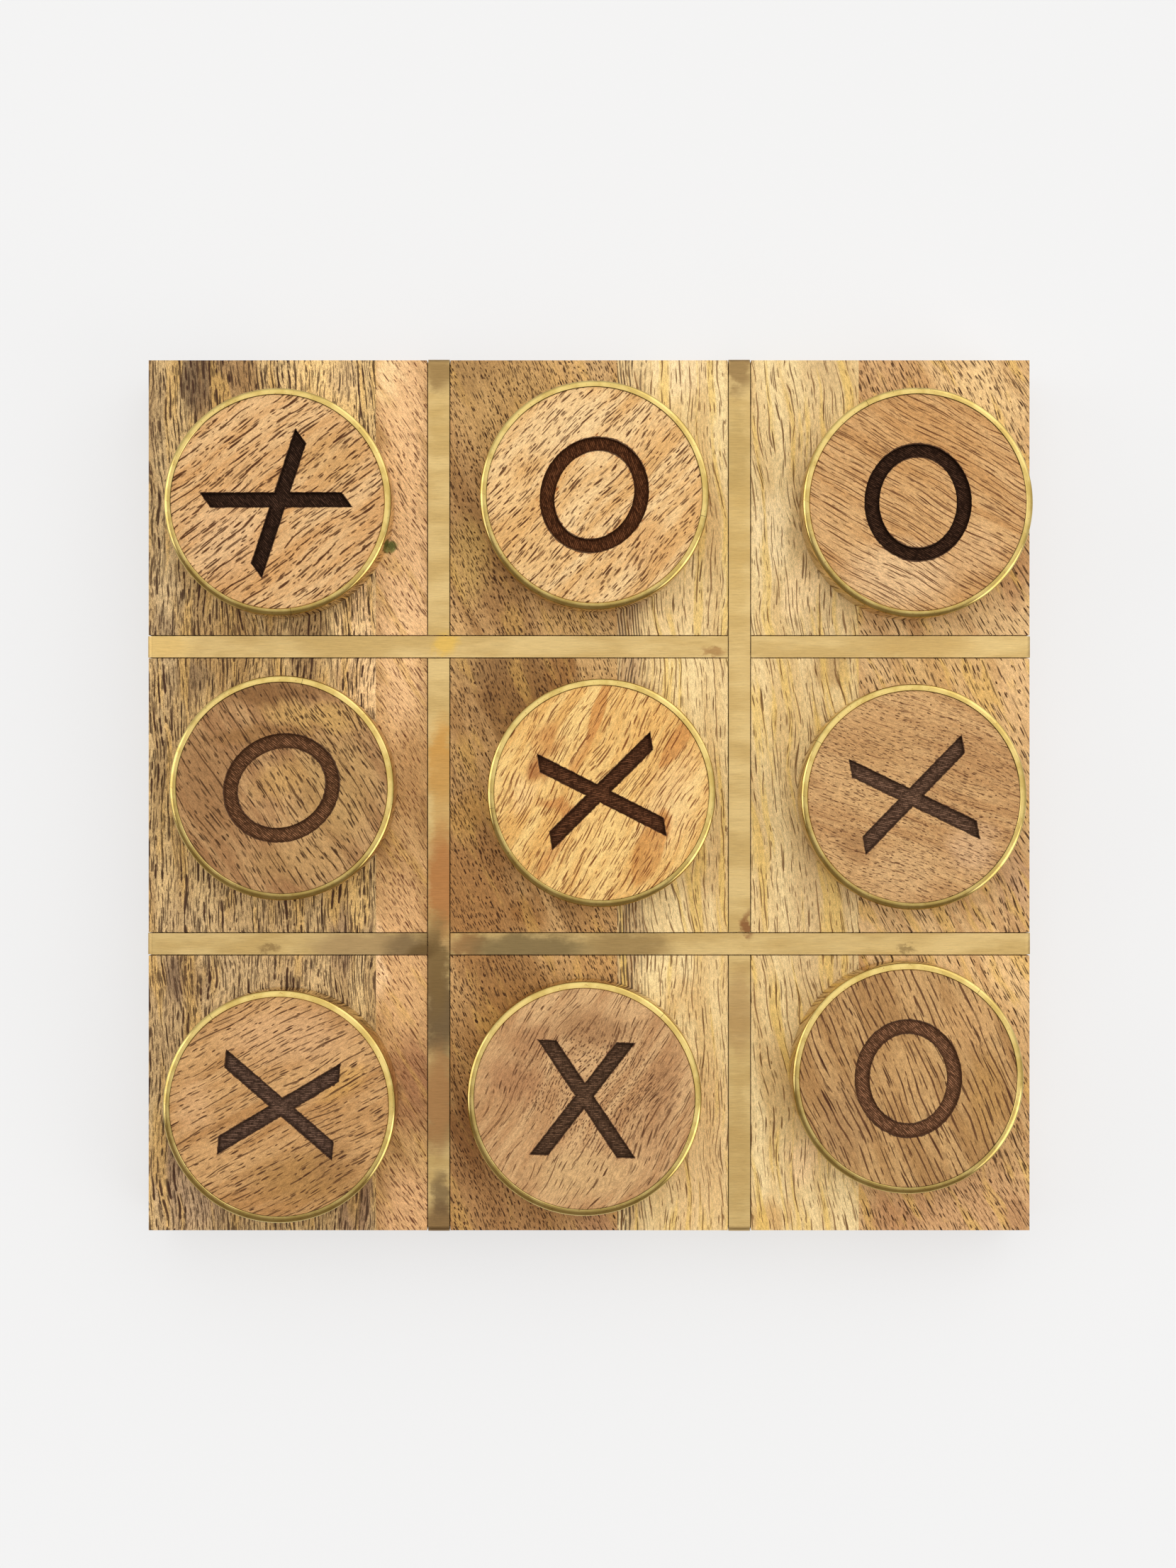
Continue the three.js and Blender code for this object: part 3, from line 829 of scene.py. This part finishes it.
def hoop_brass():
    """Polished brass with a brushed top face. Each hoop's origin is at its own middle."""
    material, t, shader = new_material("hoop_brass")
    place = t.position()
    x, y, _ = t.split(place)
    radius = t.vector("LENGTH", t.vector("MULTIPLY", place, (1, 1, 0)))
    turn = t.math("ARCTAN2", y, x)
    ring = t.noise(t.at(radius, turn, 9.0, 2.0), 3.0, 0.65)
    wear = t.noise(t.vector("MULTIPLY", place, (0.16, 0.16, 0.3)), 3.0, 0.6)
    nicks = t.noise(t.vector("MULTIPLY", place, (1.3, 1.3, 1.0)), 2.0, 0.6)
    colour = t.blend(t.smooth(wear, 0.35, 0.65), metal(192, 164, 92), metal(214, 188, 116))
    colour = t.blend(t.times(t.smooth(nicks, 0.66, 0.74), 0.5), colour, metal(150, 112, 58))
    t.put(shader.inputs["Base Color"], colour)
    shader.inputs["Metallic"].default_value = 1.0
    facing = t.split(t.add("TexCoord").outputs["Normal"])[2]
    satin = t.smooth(facing, 0.93, 0.99)
    t.put(shader.inputs["Roughness"], t.between(satin, 0.10, t.straight(ring, 0.2, 0.8, 0.26, 0.42)))
    t.bump(shader, ring, 0.25, BRUSHING_DEPTH)
    return material


# ---- Board -------------------------------------------------------------------------------

STAVE_EDGE, STRIP_EDGE = 0.18, 0.1


def add_edge_finish(node, width):
    """Breaks the sharp edges of a CAD node."""
    merge = node.modifiers.new("merge_flats", "DECIMATE")
    merge.decimate_type = "DISSOLVE"
    merge.angle_limit = math.radians(0.5)
    bevel = node.modifiers.new("soft_edges", "BEVEL")
    bevel.width = width * MM
    bevel.segments = 2
    bevel.limit_method = "ANGLE"
    bevel.angle_limit = math.radians(40)
    bevel.harden_normals = True


def set_material(piece, material):
    piece.data.materials.clear()
    piece.data.materials.append(material)


def finish_board():
    woods = {"stave_1": stave_1(), "stave_2": stave_2(), "stave_3": stave_3(), "stave_4": stave_4()}
    for name, material in woods.items():
        set_material(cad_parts[name], material)
        add_edge_finish(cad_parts[name], STAVE_EDGE)
    brass = strip_brass()
    for name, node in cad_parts.items():
        if name.startswith("inlay_"):
            set_material(node, brass)
            add_edge_finish(node, STRIP_EDGE)


# ---- Tokens ------------------------------------------------------------------------------

TURN_STEPS = 180
DISC_GAP = 0.04
DISC_CHAMFER = 0.3
DISC_EDGE, DISC_EDGE_STEPS = 0.15, 4
DISC_CREASE, HOOP_CREASE = 35, 30

# The hoop's top is a crown that falls from the inner edge to the outer one.
CROWN_WIDTH, CROWN_DROP, CROWN_TILT, CROWN_STEPS = 1.4, 0.65, 0.12, 10
HOOP_INNER_EDGE, HOOP_OUTER_EDGE = 0.1, 0.2

# The burnt outline wanders by ROUGH_SHAKE at each ROUGH_STEP, and the walls lean in by WALL_LEAN
# at the floor. The cutter stands CUTTER_RISE above the disc.
ROUGH_STEP, ROUGH_SHAKE = 0.45, 0.055
WALL_LEAN = 0.14
CUTTER_RISE = 0.4


def token_centre_and_radius(name):
    """Where a token is, and its hoop's outer radius, from the CAD hoop."""
    low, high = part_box("hoop_" + name)
    centre = (low + high) / 2
    corners = [vertex.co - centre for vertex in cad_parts["hoop_" + name].data.vertices]
    reach = [math.hypot(corner.x, corner.y) for corner in corners]
    return Vector((centre.x, centre.y, TOKEN_BASE * MM)), max(reach) / MM


def new_piece(name, bm, centre, material, crease):
    mesh = bpy.data.meshes.new(name)
    bmesh.ops.recalc_face_normals(bm, faces=bm.faces)
    bm.to_mesh(mesh)
    bm.free()
    mesh.shade_smooth()
    mesh.set_sharp_from_angle(angle=math.radians(crease))
    mesh.materials.append(material)
    piece = bpy.data.objects.new(name, mesh)
    bpy.context.scene.collection.objects.link(piece)
    piece.location = centre
    return piece


def turned_rings(bm, profile, headings):
    """A ring of vertices at each heading, from a profile of (radius, height)."""
    rings = []
    for heading in headings:
        a = math.radians(heading)
        x, y = MM * math.cos(a), MM * math.sin(a)
        rings.append([bm.verts.new((r * x, r * y, z * MM)) for r, z in profile])
    return rings


def join_rings(bm, here, there, sides):
    """Faces between two rings, on this many sides of the profile."""
    for k in range(sides):
        m = (k + 1) % len(here)
        bm.faces.new((here[k], here[m], there[m], there[k]))


def shaken_outline(points, seed):
    """The outline in short steps, each a little off true, as a burnt edge is."""
    count, made = len(points), []
    for k in range(count):
        a, b = Vector(points[k]), Vector(points[(k + 1) % count])
        steps = max(1, round((b - a).length / ROUGH_STEP))
        normal = Vector((b.y - a.y, a.x - b.x)).normalized()
        for step in range(steps):
            p = a.lerp(b, step / steps)
            off = noise.noise(Vector((p.x * 1.9, p.y * 1.9, seed))) * 2 * ROUGH_SHAKE
            if step:
                p = p + normal * off
            made.append(p)
    return made


def letter_loops(mark):
    """The letter's outlines, each anticlockwise: one for an X, outer and inner for an O."""
    if mark == "X":
        top, half = X_HEIGHT / 2, X_STROKE / 2
        loop = [
            (X_TOP_SPREAD + half, top), (X_TOP_SPREAD - half, top), (0, X_CROSSING + X_SLOPE * half),
            (-X_TOP_SPREAD + half, top), (-X_TOP_SPREAD - half, top), (-half, X_CROSSING),
            (-X_BOTTOM_SPREAD - half, -top), (-X_BOTTOM_SPREAD + half, -top),
            (0, X_CROSSING - X_SLOPE * half), (X_BOTTOM_SPREAD - half, -top),
            (X_BOTTOM_SPREAD + half, -top), (half, X_CROSSING),
        ]
        return [loop]
    loops = []
    for side, top in ((0, 0), (O_SIDE_STROKE, O_TOP_STROKE)):
        loops.append([
            ((O_WIDTH / 2 - side) * math.cos(a), (O_HEIGHT / 2 - top) * math.sin(a))
            for a in (2 * math.pi * k / O_STEPS for k in range(O_STEPS))
        ])
    return loops


def leaned(points, inward):
    """The outline moved inward by this much, corner by corner."""
    count, made = len(points), []
    for k in range(count):
        before, here, after = points[k - 1], points[k], points[(k + 1) % count]
        one = Vector((here.y - before.y, before.x - here.x)).normalized()
        two = Vector((after.y - here.y, here.x - after.x)).normalized()
        middle = (one + two).normalized()
        made.append(here - middle * inward / max(middle.dot(one), 0.35))
    return made


def letter_cutter(token, seed):
    """A closed bmesh of the letter, its walls leaning in towards the floor."""
    bm = bmesh.new()
    floor, brim = DISC_TOP - ENGRAVING_DEPTH, DISC_TOP + CUTTER_RISE
    lean_at_brim = -WALL_LEAN * CUTTER_RISE / ENGRAVING_DEPTH
    a = math.radians(token["turn"])
    rings = []
    for index, loop in enumerate(letter_loops(token["mark"])):
        outline = shaken_outline(loop, seed + index * 7.7)
        inward = 1 if index == 0 else -1
        levels = []
        for lean, z in ((WALL_LEAN, floor), (lean_at_brim, brim)):
            levels.append([
                bm.verts.new((
                    (p.x * math.cos(a) - p.y * math.sin(a)) * MM,
                    (p.x * math.sin(a) + p.y * math.cos(a)) * MM,
                    z * MM,
                ))
                for p in leaned(outline, lean * inward)
            ])
        join_rings(bm, *levels, len(outline))
        rings.append(levels)
    for level in (0, 1):
        if len(rings) == 1:
            bm.faces.new(rings[0][level])
        else:
            edges = [e for ring in rings for e in loop_edges(bm, ring[level])]
            bmesh.ops.triangle_fill(bm, use_beauty=True, edges=edges)
    bmesh.ops.recalc_face_normals(bm, faces=bm.faces)
    return bm


def loop_edges(bm, verts):
    return [bm.edges.get((verts[k], verts[(k + 1) % len(verts)])) for k in range(len(verts))]


def carve(piece, cutter_bm):
    """Cuts the closed mesh out of the piece, for good."""
    mesh = bpy.data.meshes.new("cutter")
    cutter_bm.to_mesh(mesh)
    cutter_bm.free()
    cutter = bpy.data.objects.new("cutter", mesh)
    bpy.context.scene.collection.objects.link(cutter)
    cutter.location = piece.location
    cut = piece.modifiers.new("carve", "BOOLEAN")
    cut.operation, cut.solver, cut.object = "DIFFERENCE", "EXACT", cutter
    bpy.context.view_layer.update()
    evaluated = piece.evaluated_get(bpy.context.evaluated_depsgraph_get())
    carved = bpy.data.meshes.new_from_object(evaluated)
    piece.modifiers.remove(cut)
    old = piece.data
    carved.name = old.name + "_carved"
    piece.data = carved
    bpy.data.meshes.remove(old)
    bpy.data.objects.remove(cutter)
    bpy.data.meshes.remove(mesh)


def make_disc(name, token, centre, radius, seed):
    profile = [(radius - DISC_CHAMFER, 0), (radius, DISC_CHAMFER), (radius, DISC_TOP - DISC_EDGE)]
    for step in range(1, DISC_EDGE_STEPS + 1):
        a = math.radians(90 * step / DISC_EDGE_STEPS)
        inset, fall = DISC_EDGE * (1 - math.cos(a)), DISC_EDGE * (1 - math.sin(a))
        profile.append((radius - inset, DISC_TOP - fall))
    bm = bmesh.new()
    rings = turned_rings(bm, profile, [360 * step / TURN_STEPS for step in range(TURN_STEPS)])
    for here, there in zip(rings, rings[1:] + rings[:1]):
        join_rings(bm, here, there, len(profile) - 1)
    bm.faces.new([ring[0] for ring in rings])
    bm.faces.new([ring[-1] for ring in rings])
    piece = new_piece("disc_wood_" + name, bm, centre, disc_wood(name, token), DISC_CREASE)
    carve(piece, letter_cutter(token, seed))
    piece.data.set_sharp_from_angle(angle=math.radians(DISC_CREASE))
    piece.data.materials.append(disc_char(name, token))
    # The engraving's floor and walls are the faces inside the letter's reach, below the top.
    lowest, highest = DISC_TOP - ENGRAVING_DEPTH - 0.05, DISC_TOP - 0.02
    for face in piece.data.polygons:
        at = face.center / MM
        if lowest < at.z < highest and math.hypot(at.x, at.y) < LETTER_REACH:
            face.material_index = 1
    return piece


def make_hoop(name, token, centre, radius, material):
    """A hoop of bent strip, with a hair-wide seam where its ends meet."""
    inner, top = radius - HOOP_WALL, TOKEN_HEIGHT
    profile = [
        (inner, HOOP_INNER_EDGE), (inner + HOOP_INNER_EDGE, 0),
        (radius - HOOP_OUTER_EDGE, 0), (radius, HOOP_OUTER_EDGE),
    ]
    for step in range(CROWN_STEPS + 1):
        a = math.radians(90 * step / CROWN_STEPS)
        inset = CROWN_WIDTH * (1 - math.cos(a))
        fall = CROWN_DROP * (1 - math.sin(a)) + CROWN_TILT * (1 - inset / HOOP_WALL)
        profile.append((radius - inset, top - fall))
    profile += [(inner + HOOP_INNER_EDGE, top), (inner, top - HOOP_INNER_EDGE)]
    half_gap = math.degrees(HOOP_SEAM / 2 / radius)
    start, sweep = token["seam"] + half_gap, 360 - 2 * half_gap
    bm = bmesh.new()
    rings = turned_rings(bm, profile, [start + sweep * step / TURN_STEPS for step in range(TURN_STEPS + 1)])
    for here, there in zip(rings, rings[1:]):
        join_rings(bm, here, there, len(profile))
    bm.faces.new(rings[0])
    bm.faces.new(list(reversed(rings[-1])))
    return new_piece("hoop_brass_" + name, bm, centre, material, HOOP_CREASE)


def add_tokens():
    brass = hoop_brass()
    for index, (name, token) in enumerate(TOKENS.items()):
        centre, outer = token_centre_and_radius(name)
        disc = make_disc(name, token, centre, outer - HOOP_WALL - DISC_GAP, index * 3.1 + 1)
        hoop = make_hoop(name, token, centre, outer, brass)
        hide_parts("disc_" + name)
        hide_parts("hoop_" + name)
        for piece in (disc, hoop):
            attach(piece, "token_" + name)


# ---- Studio ------------------------------------------------------------------------------

FLOOR_REACH = 8000.0
FLOOR_TONE, FLOOR_GLOW = 0.24, 0.615


def add_floor():
    """A sheet of white paper, with a glow of its own so that it stays white far from the board."""
    bm = bmesh.new()
    bmesh.ops.create_grid(bm, x_segments=1, y_segments=1, size=FLOOR_REACH * MM)
    mesh = bpy.data.meshes.new("floor")
    bm.to_mesh(mesh)
    bm.free()
    floor = bpy.data.objects.new("floor", mesh)
    bpy.context.scene.collection.objects.link(floor)
    material, _, shader = new_material("floor_paper")
    shader.inputs["Base Color"].default_value = (FLOOR_TONE, FLOOR_TONE, FLOOR_TONE, 1)
    shader.inputs["Emission Color"].default_value = (1, 1, 1, 1)
    shader.inputs["Emission Strength"].default_value = FLOOR_GLOW
    shader.inputs["Roughness"].default_value = 0.95
    shader.inputs["Specular IOR Level"].default_value = 0.0
    mesh.materials.append(material)


# A broad light overhead, towards the back, a bright room at the back and right that falls off
# towards the front left, and three soft boxes: where each box is, in degrees from +X and above
# the floor, its reach from its middle and its strength.
OVERHEAD = (0.12, 0.42, 0.9)
DARK_SIDE = (-0.42, -0.91, 0.0)
OVERHEAD_LEVEL = 0.85
DARK_SIDE_LEVEL = 0.38
SOFT_BOXES = [(174, 24, 22, 2.2), (328, 26, 20, 2.4), (45, 14, 34, 0.9)]
SKY_LEVEL = 0.85
SHADE_COLOUR, LIGHT_COLOUR = (1.0, 0.8, 0.62, 1), (1, 1, 1, 1)


def add_light():
    world = bpy.data.worlds.new("studio")
    bpy.context.scene.world = world
    t = Tree(world)
    background = world.node_tree.nodes["Background"]
    direction = t.add("TexCoord").outputs["Generated"]

    def towards(aim):
        return t.vector("DOT_PRODUCT", direction, tuple(Vector(aim).normalized()))

    level = t.smooth(towards(OVERHEAD), 0.4, 0.95, 0.0, OVERHEAD_LEVEL)
    level = t.math("ADD", level, t.smooth(towards(DARK_SIDE), -0.05, 0.5, 1.0, DARK_SIDE_LEVEL))
    for azimuth, height, reach, strength in SOFT_BOXES:
        a, e = math.radians(azimuth), math.radians(height)
        aim = (math.cos(a) * math.cos(e), math.sin(a) * math.cos(e), math.sin(e))
        edge = math.cos(math.radians(reach))
        level = t.math("ADD", level, t.smooth(towards(aim), edge, 0.5 + edge / 2, 0.0, strength))
    t.put(background.inputs["Strength"], t.times(level, SKY_LEVEL))
    warm = t.blend(t.smooth(level, 0.2, 0.9), SHADE_COLOUR, LIGHT_COLOUR)
    t.put(background.inputs["Color"], warm)


CAMERA_PLACE = (-0.25, 2.6, 542.0)
CAMERA_LENS, SENSOR_WIDTH = 52.1, 36.0
NEAREST, FARTHEST = 10.0, 50000.0


def add_camera():
    """A camera straight above the board, looking down."""
    data = bpy.data.cameras.new("camera")
    data.sensor_width = SENSOR_WIDTH
    data.lens = CAMERA_LENS
    data.clip_start, data.clip_end = NEAREST * MM, FARTHEST * MM
    camera = bpy.data.objects.new("camera", data)
    camera.location = Vector(CAMERA_PLACE) * MM
    bpy.context.scene.collection.objects.link(camera)
    bpy.context.scene.camera = camera


finish_board()
add_tokens()
add_floor()
add_light()
add_camera()
bpy.context.scene.view_settings.view_transform = "Standard"
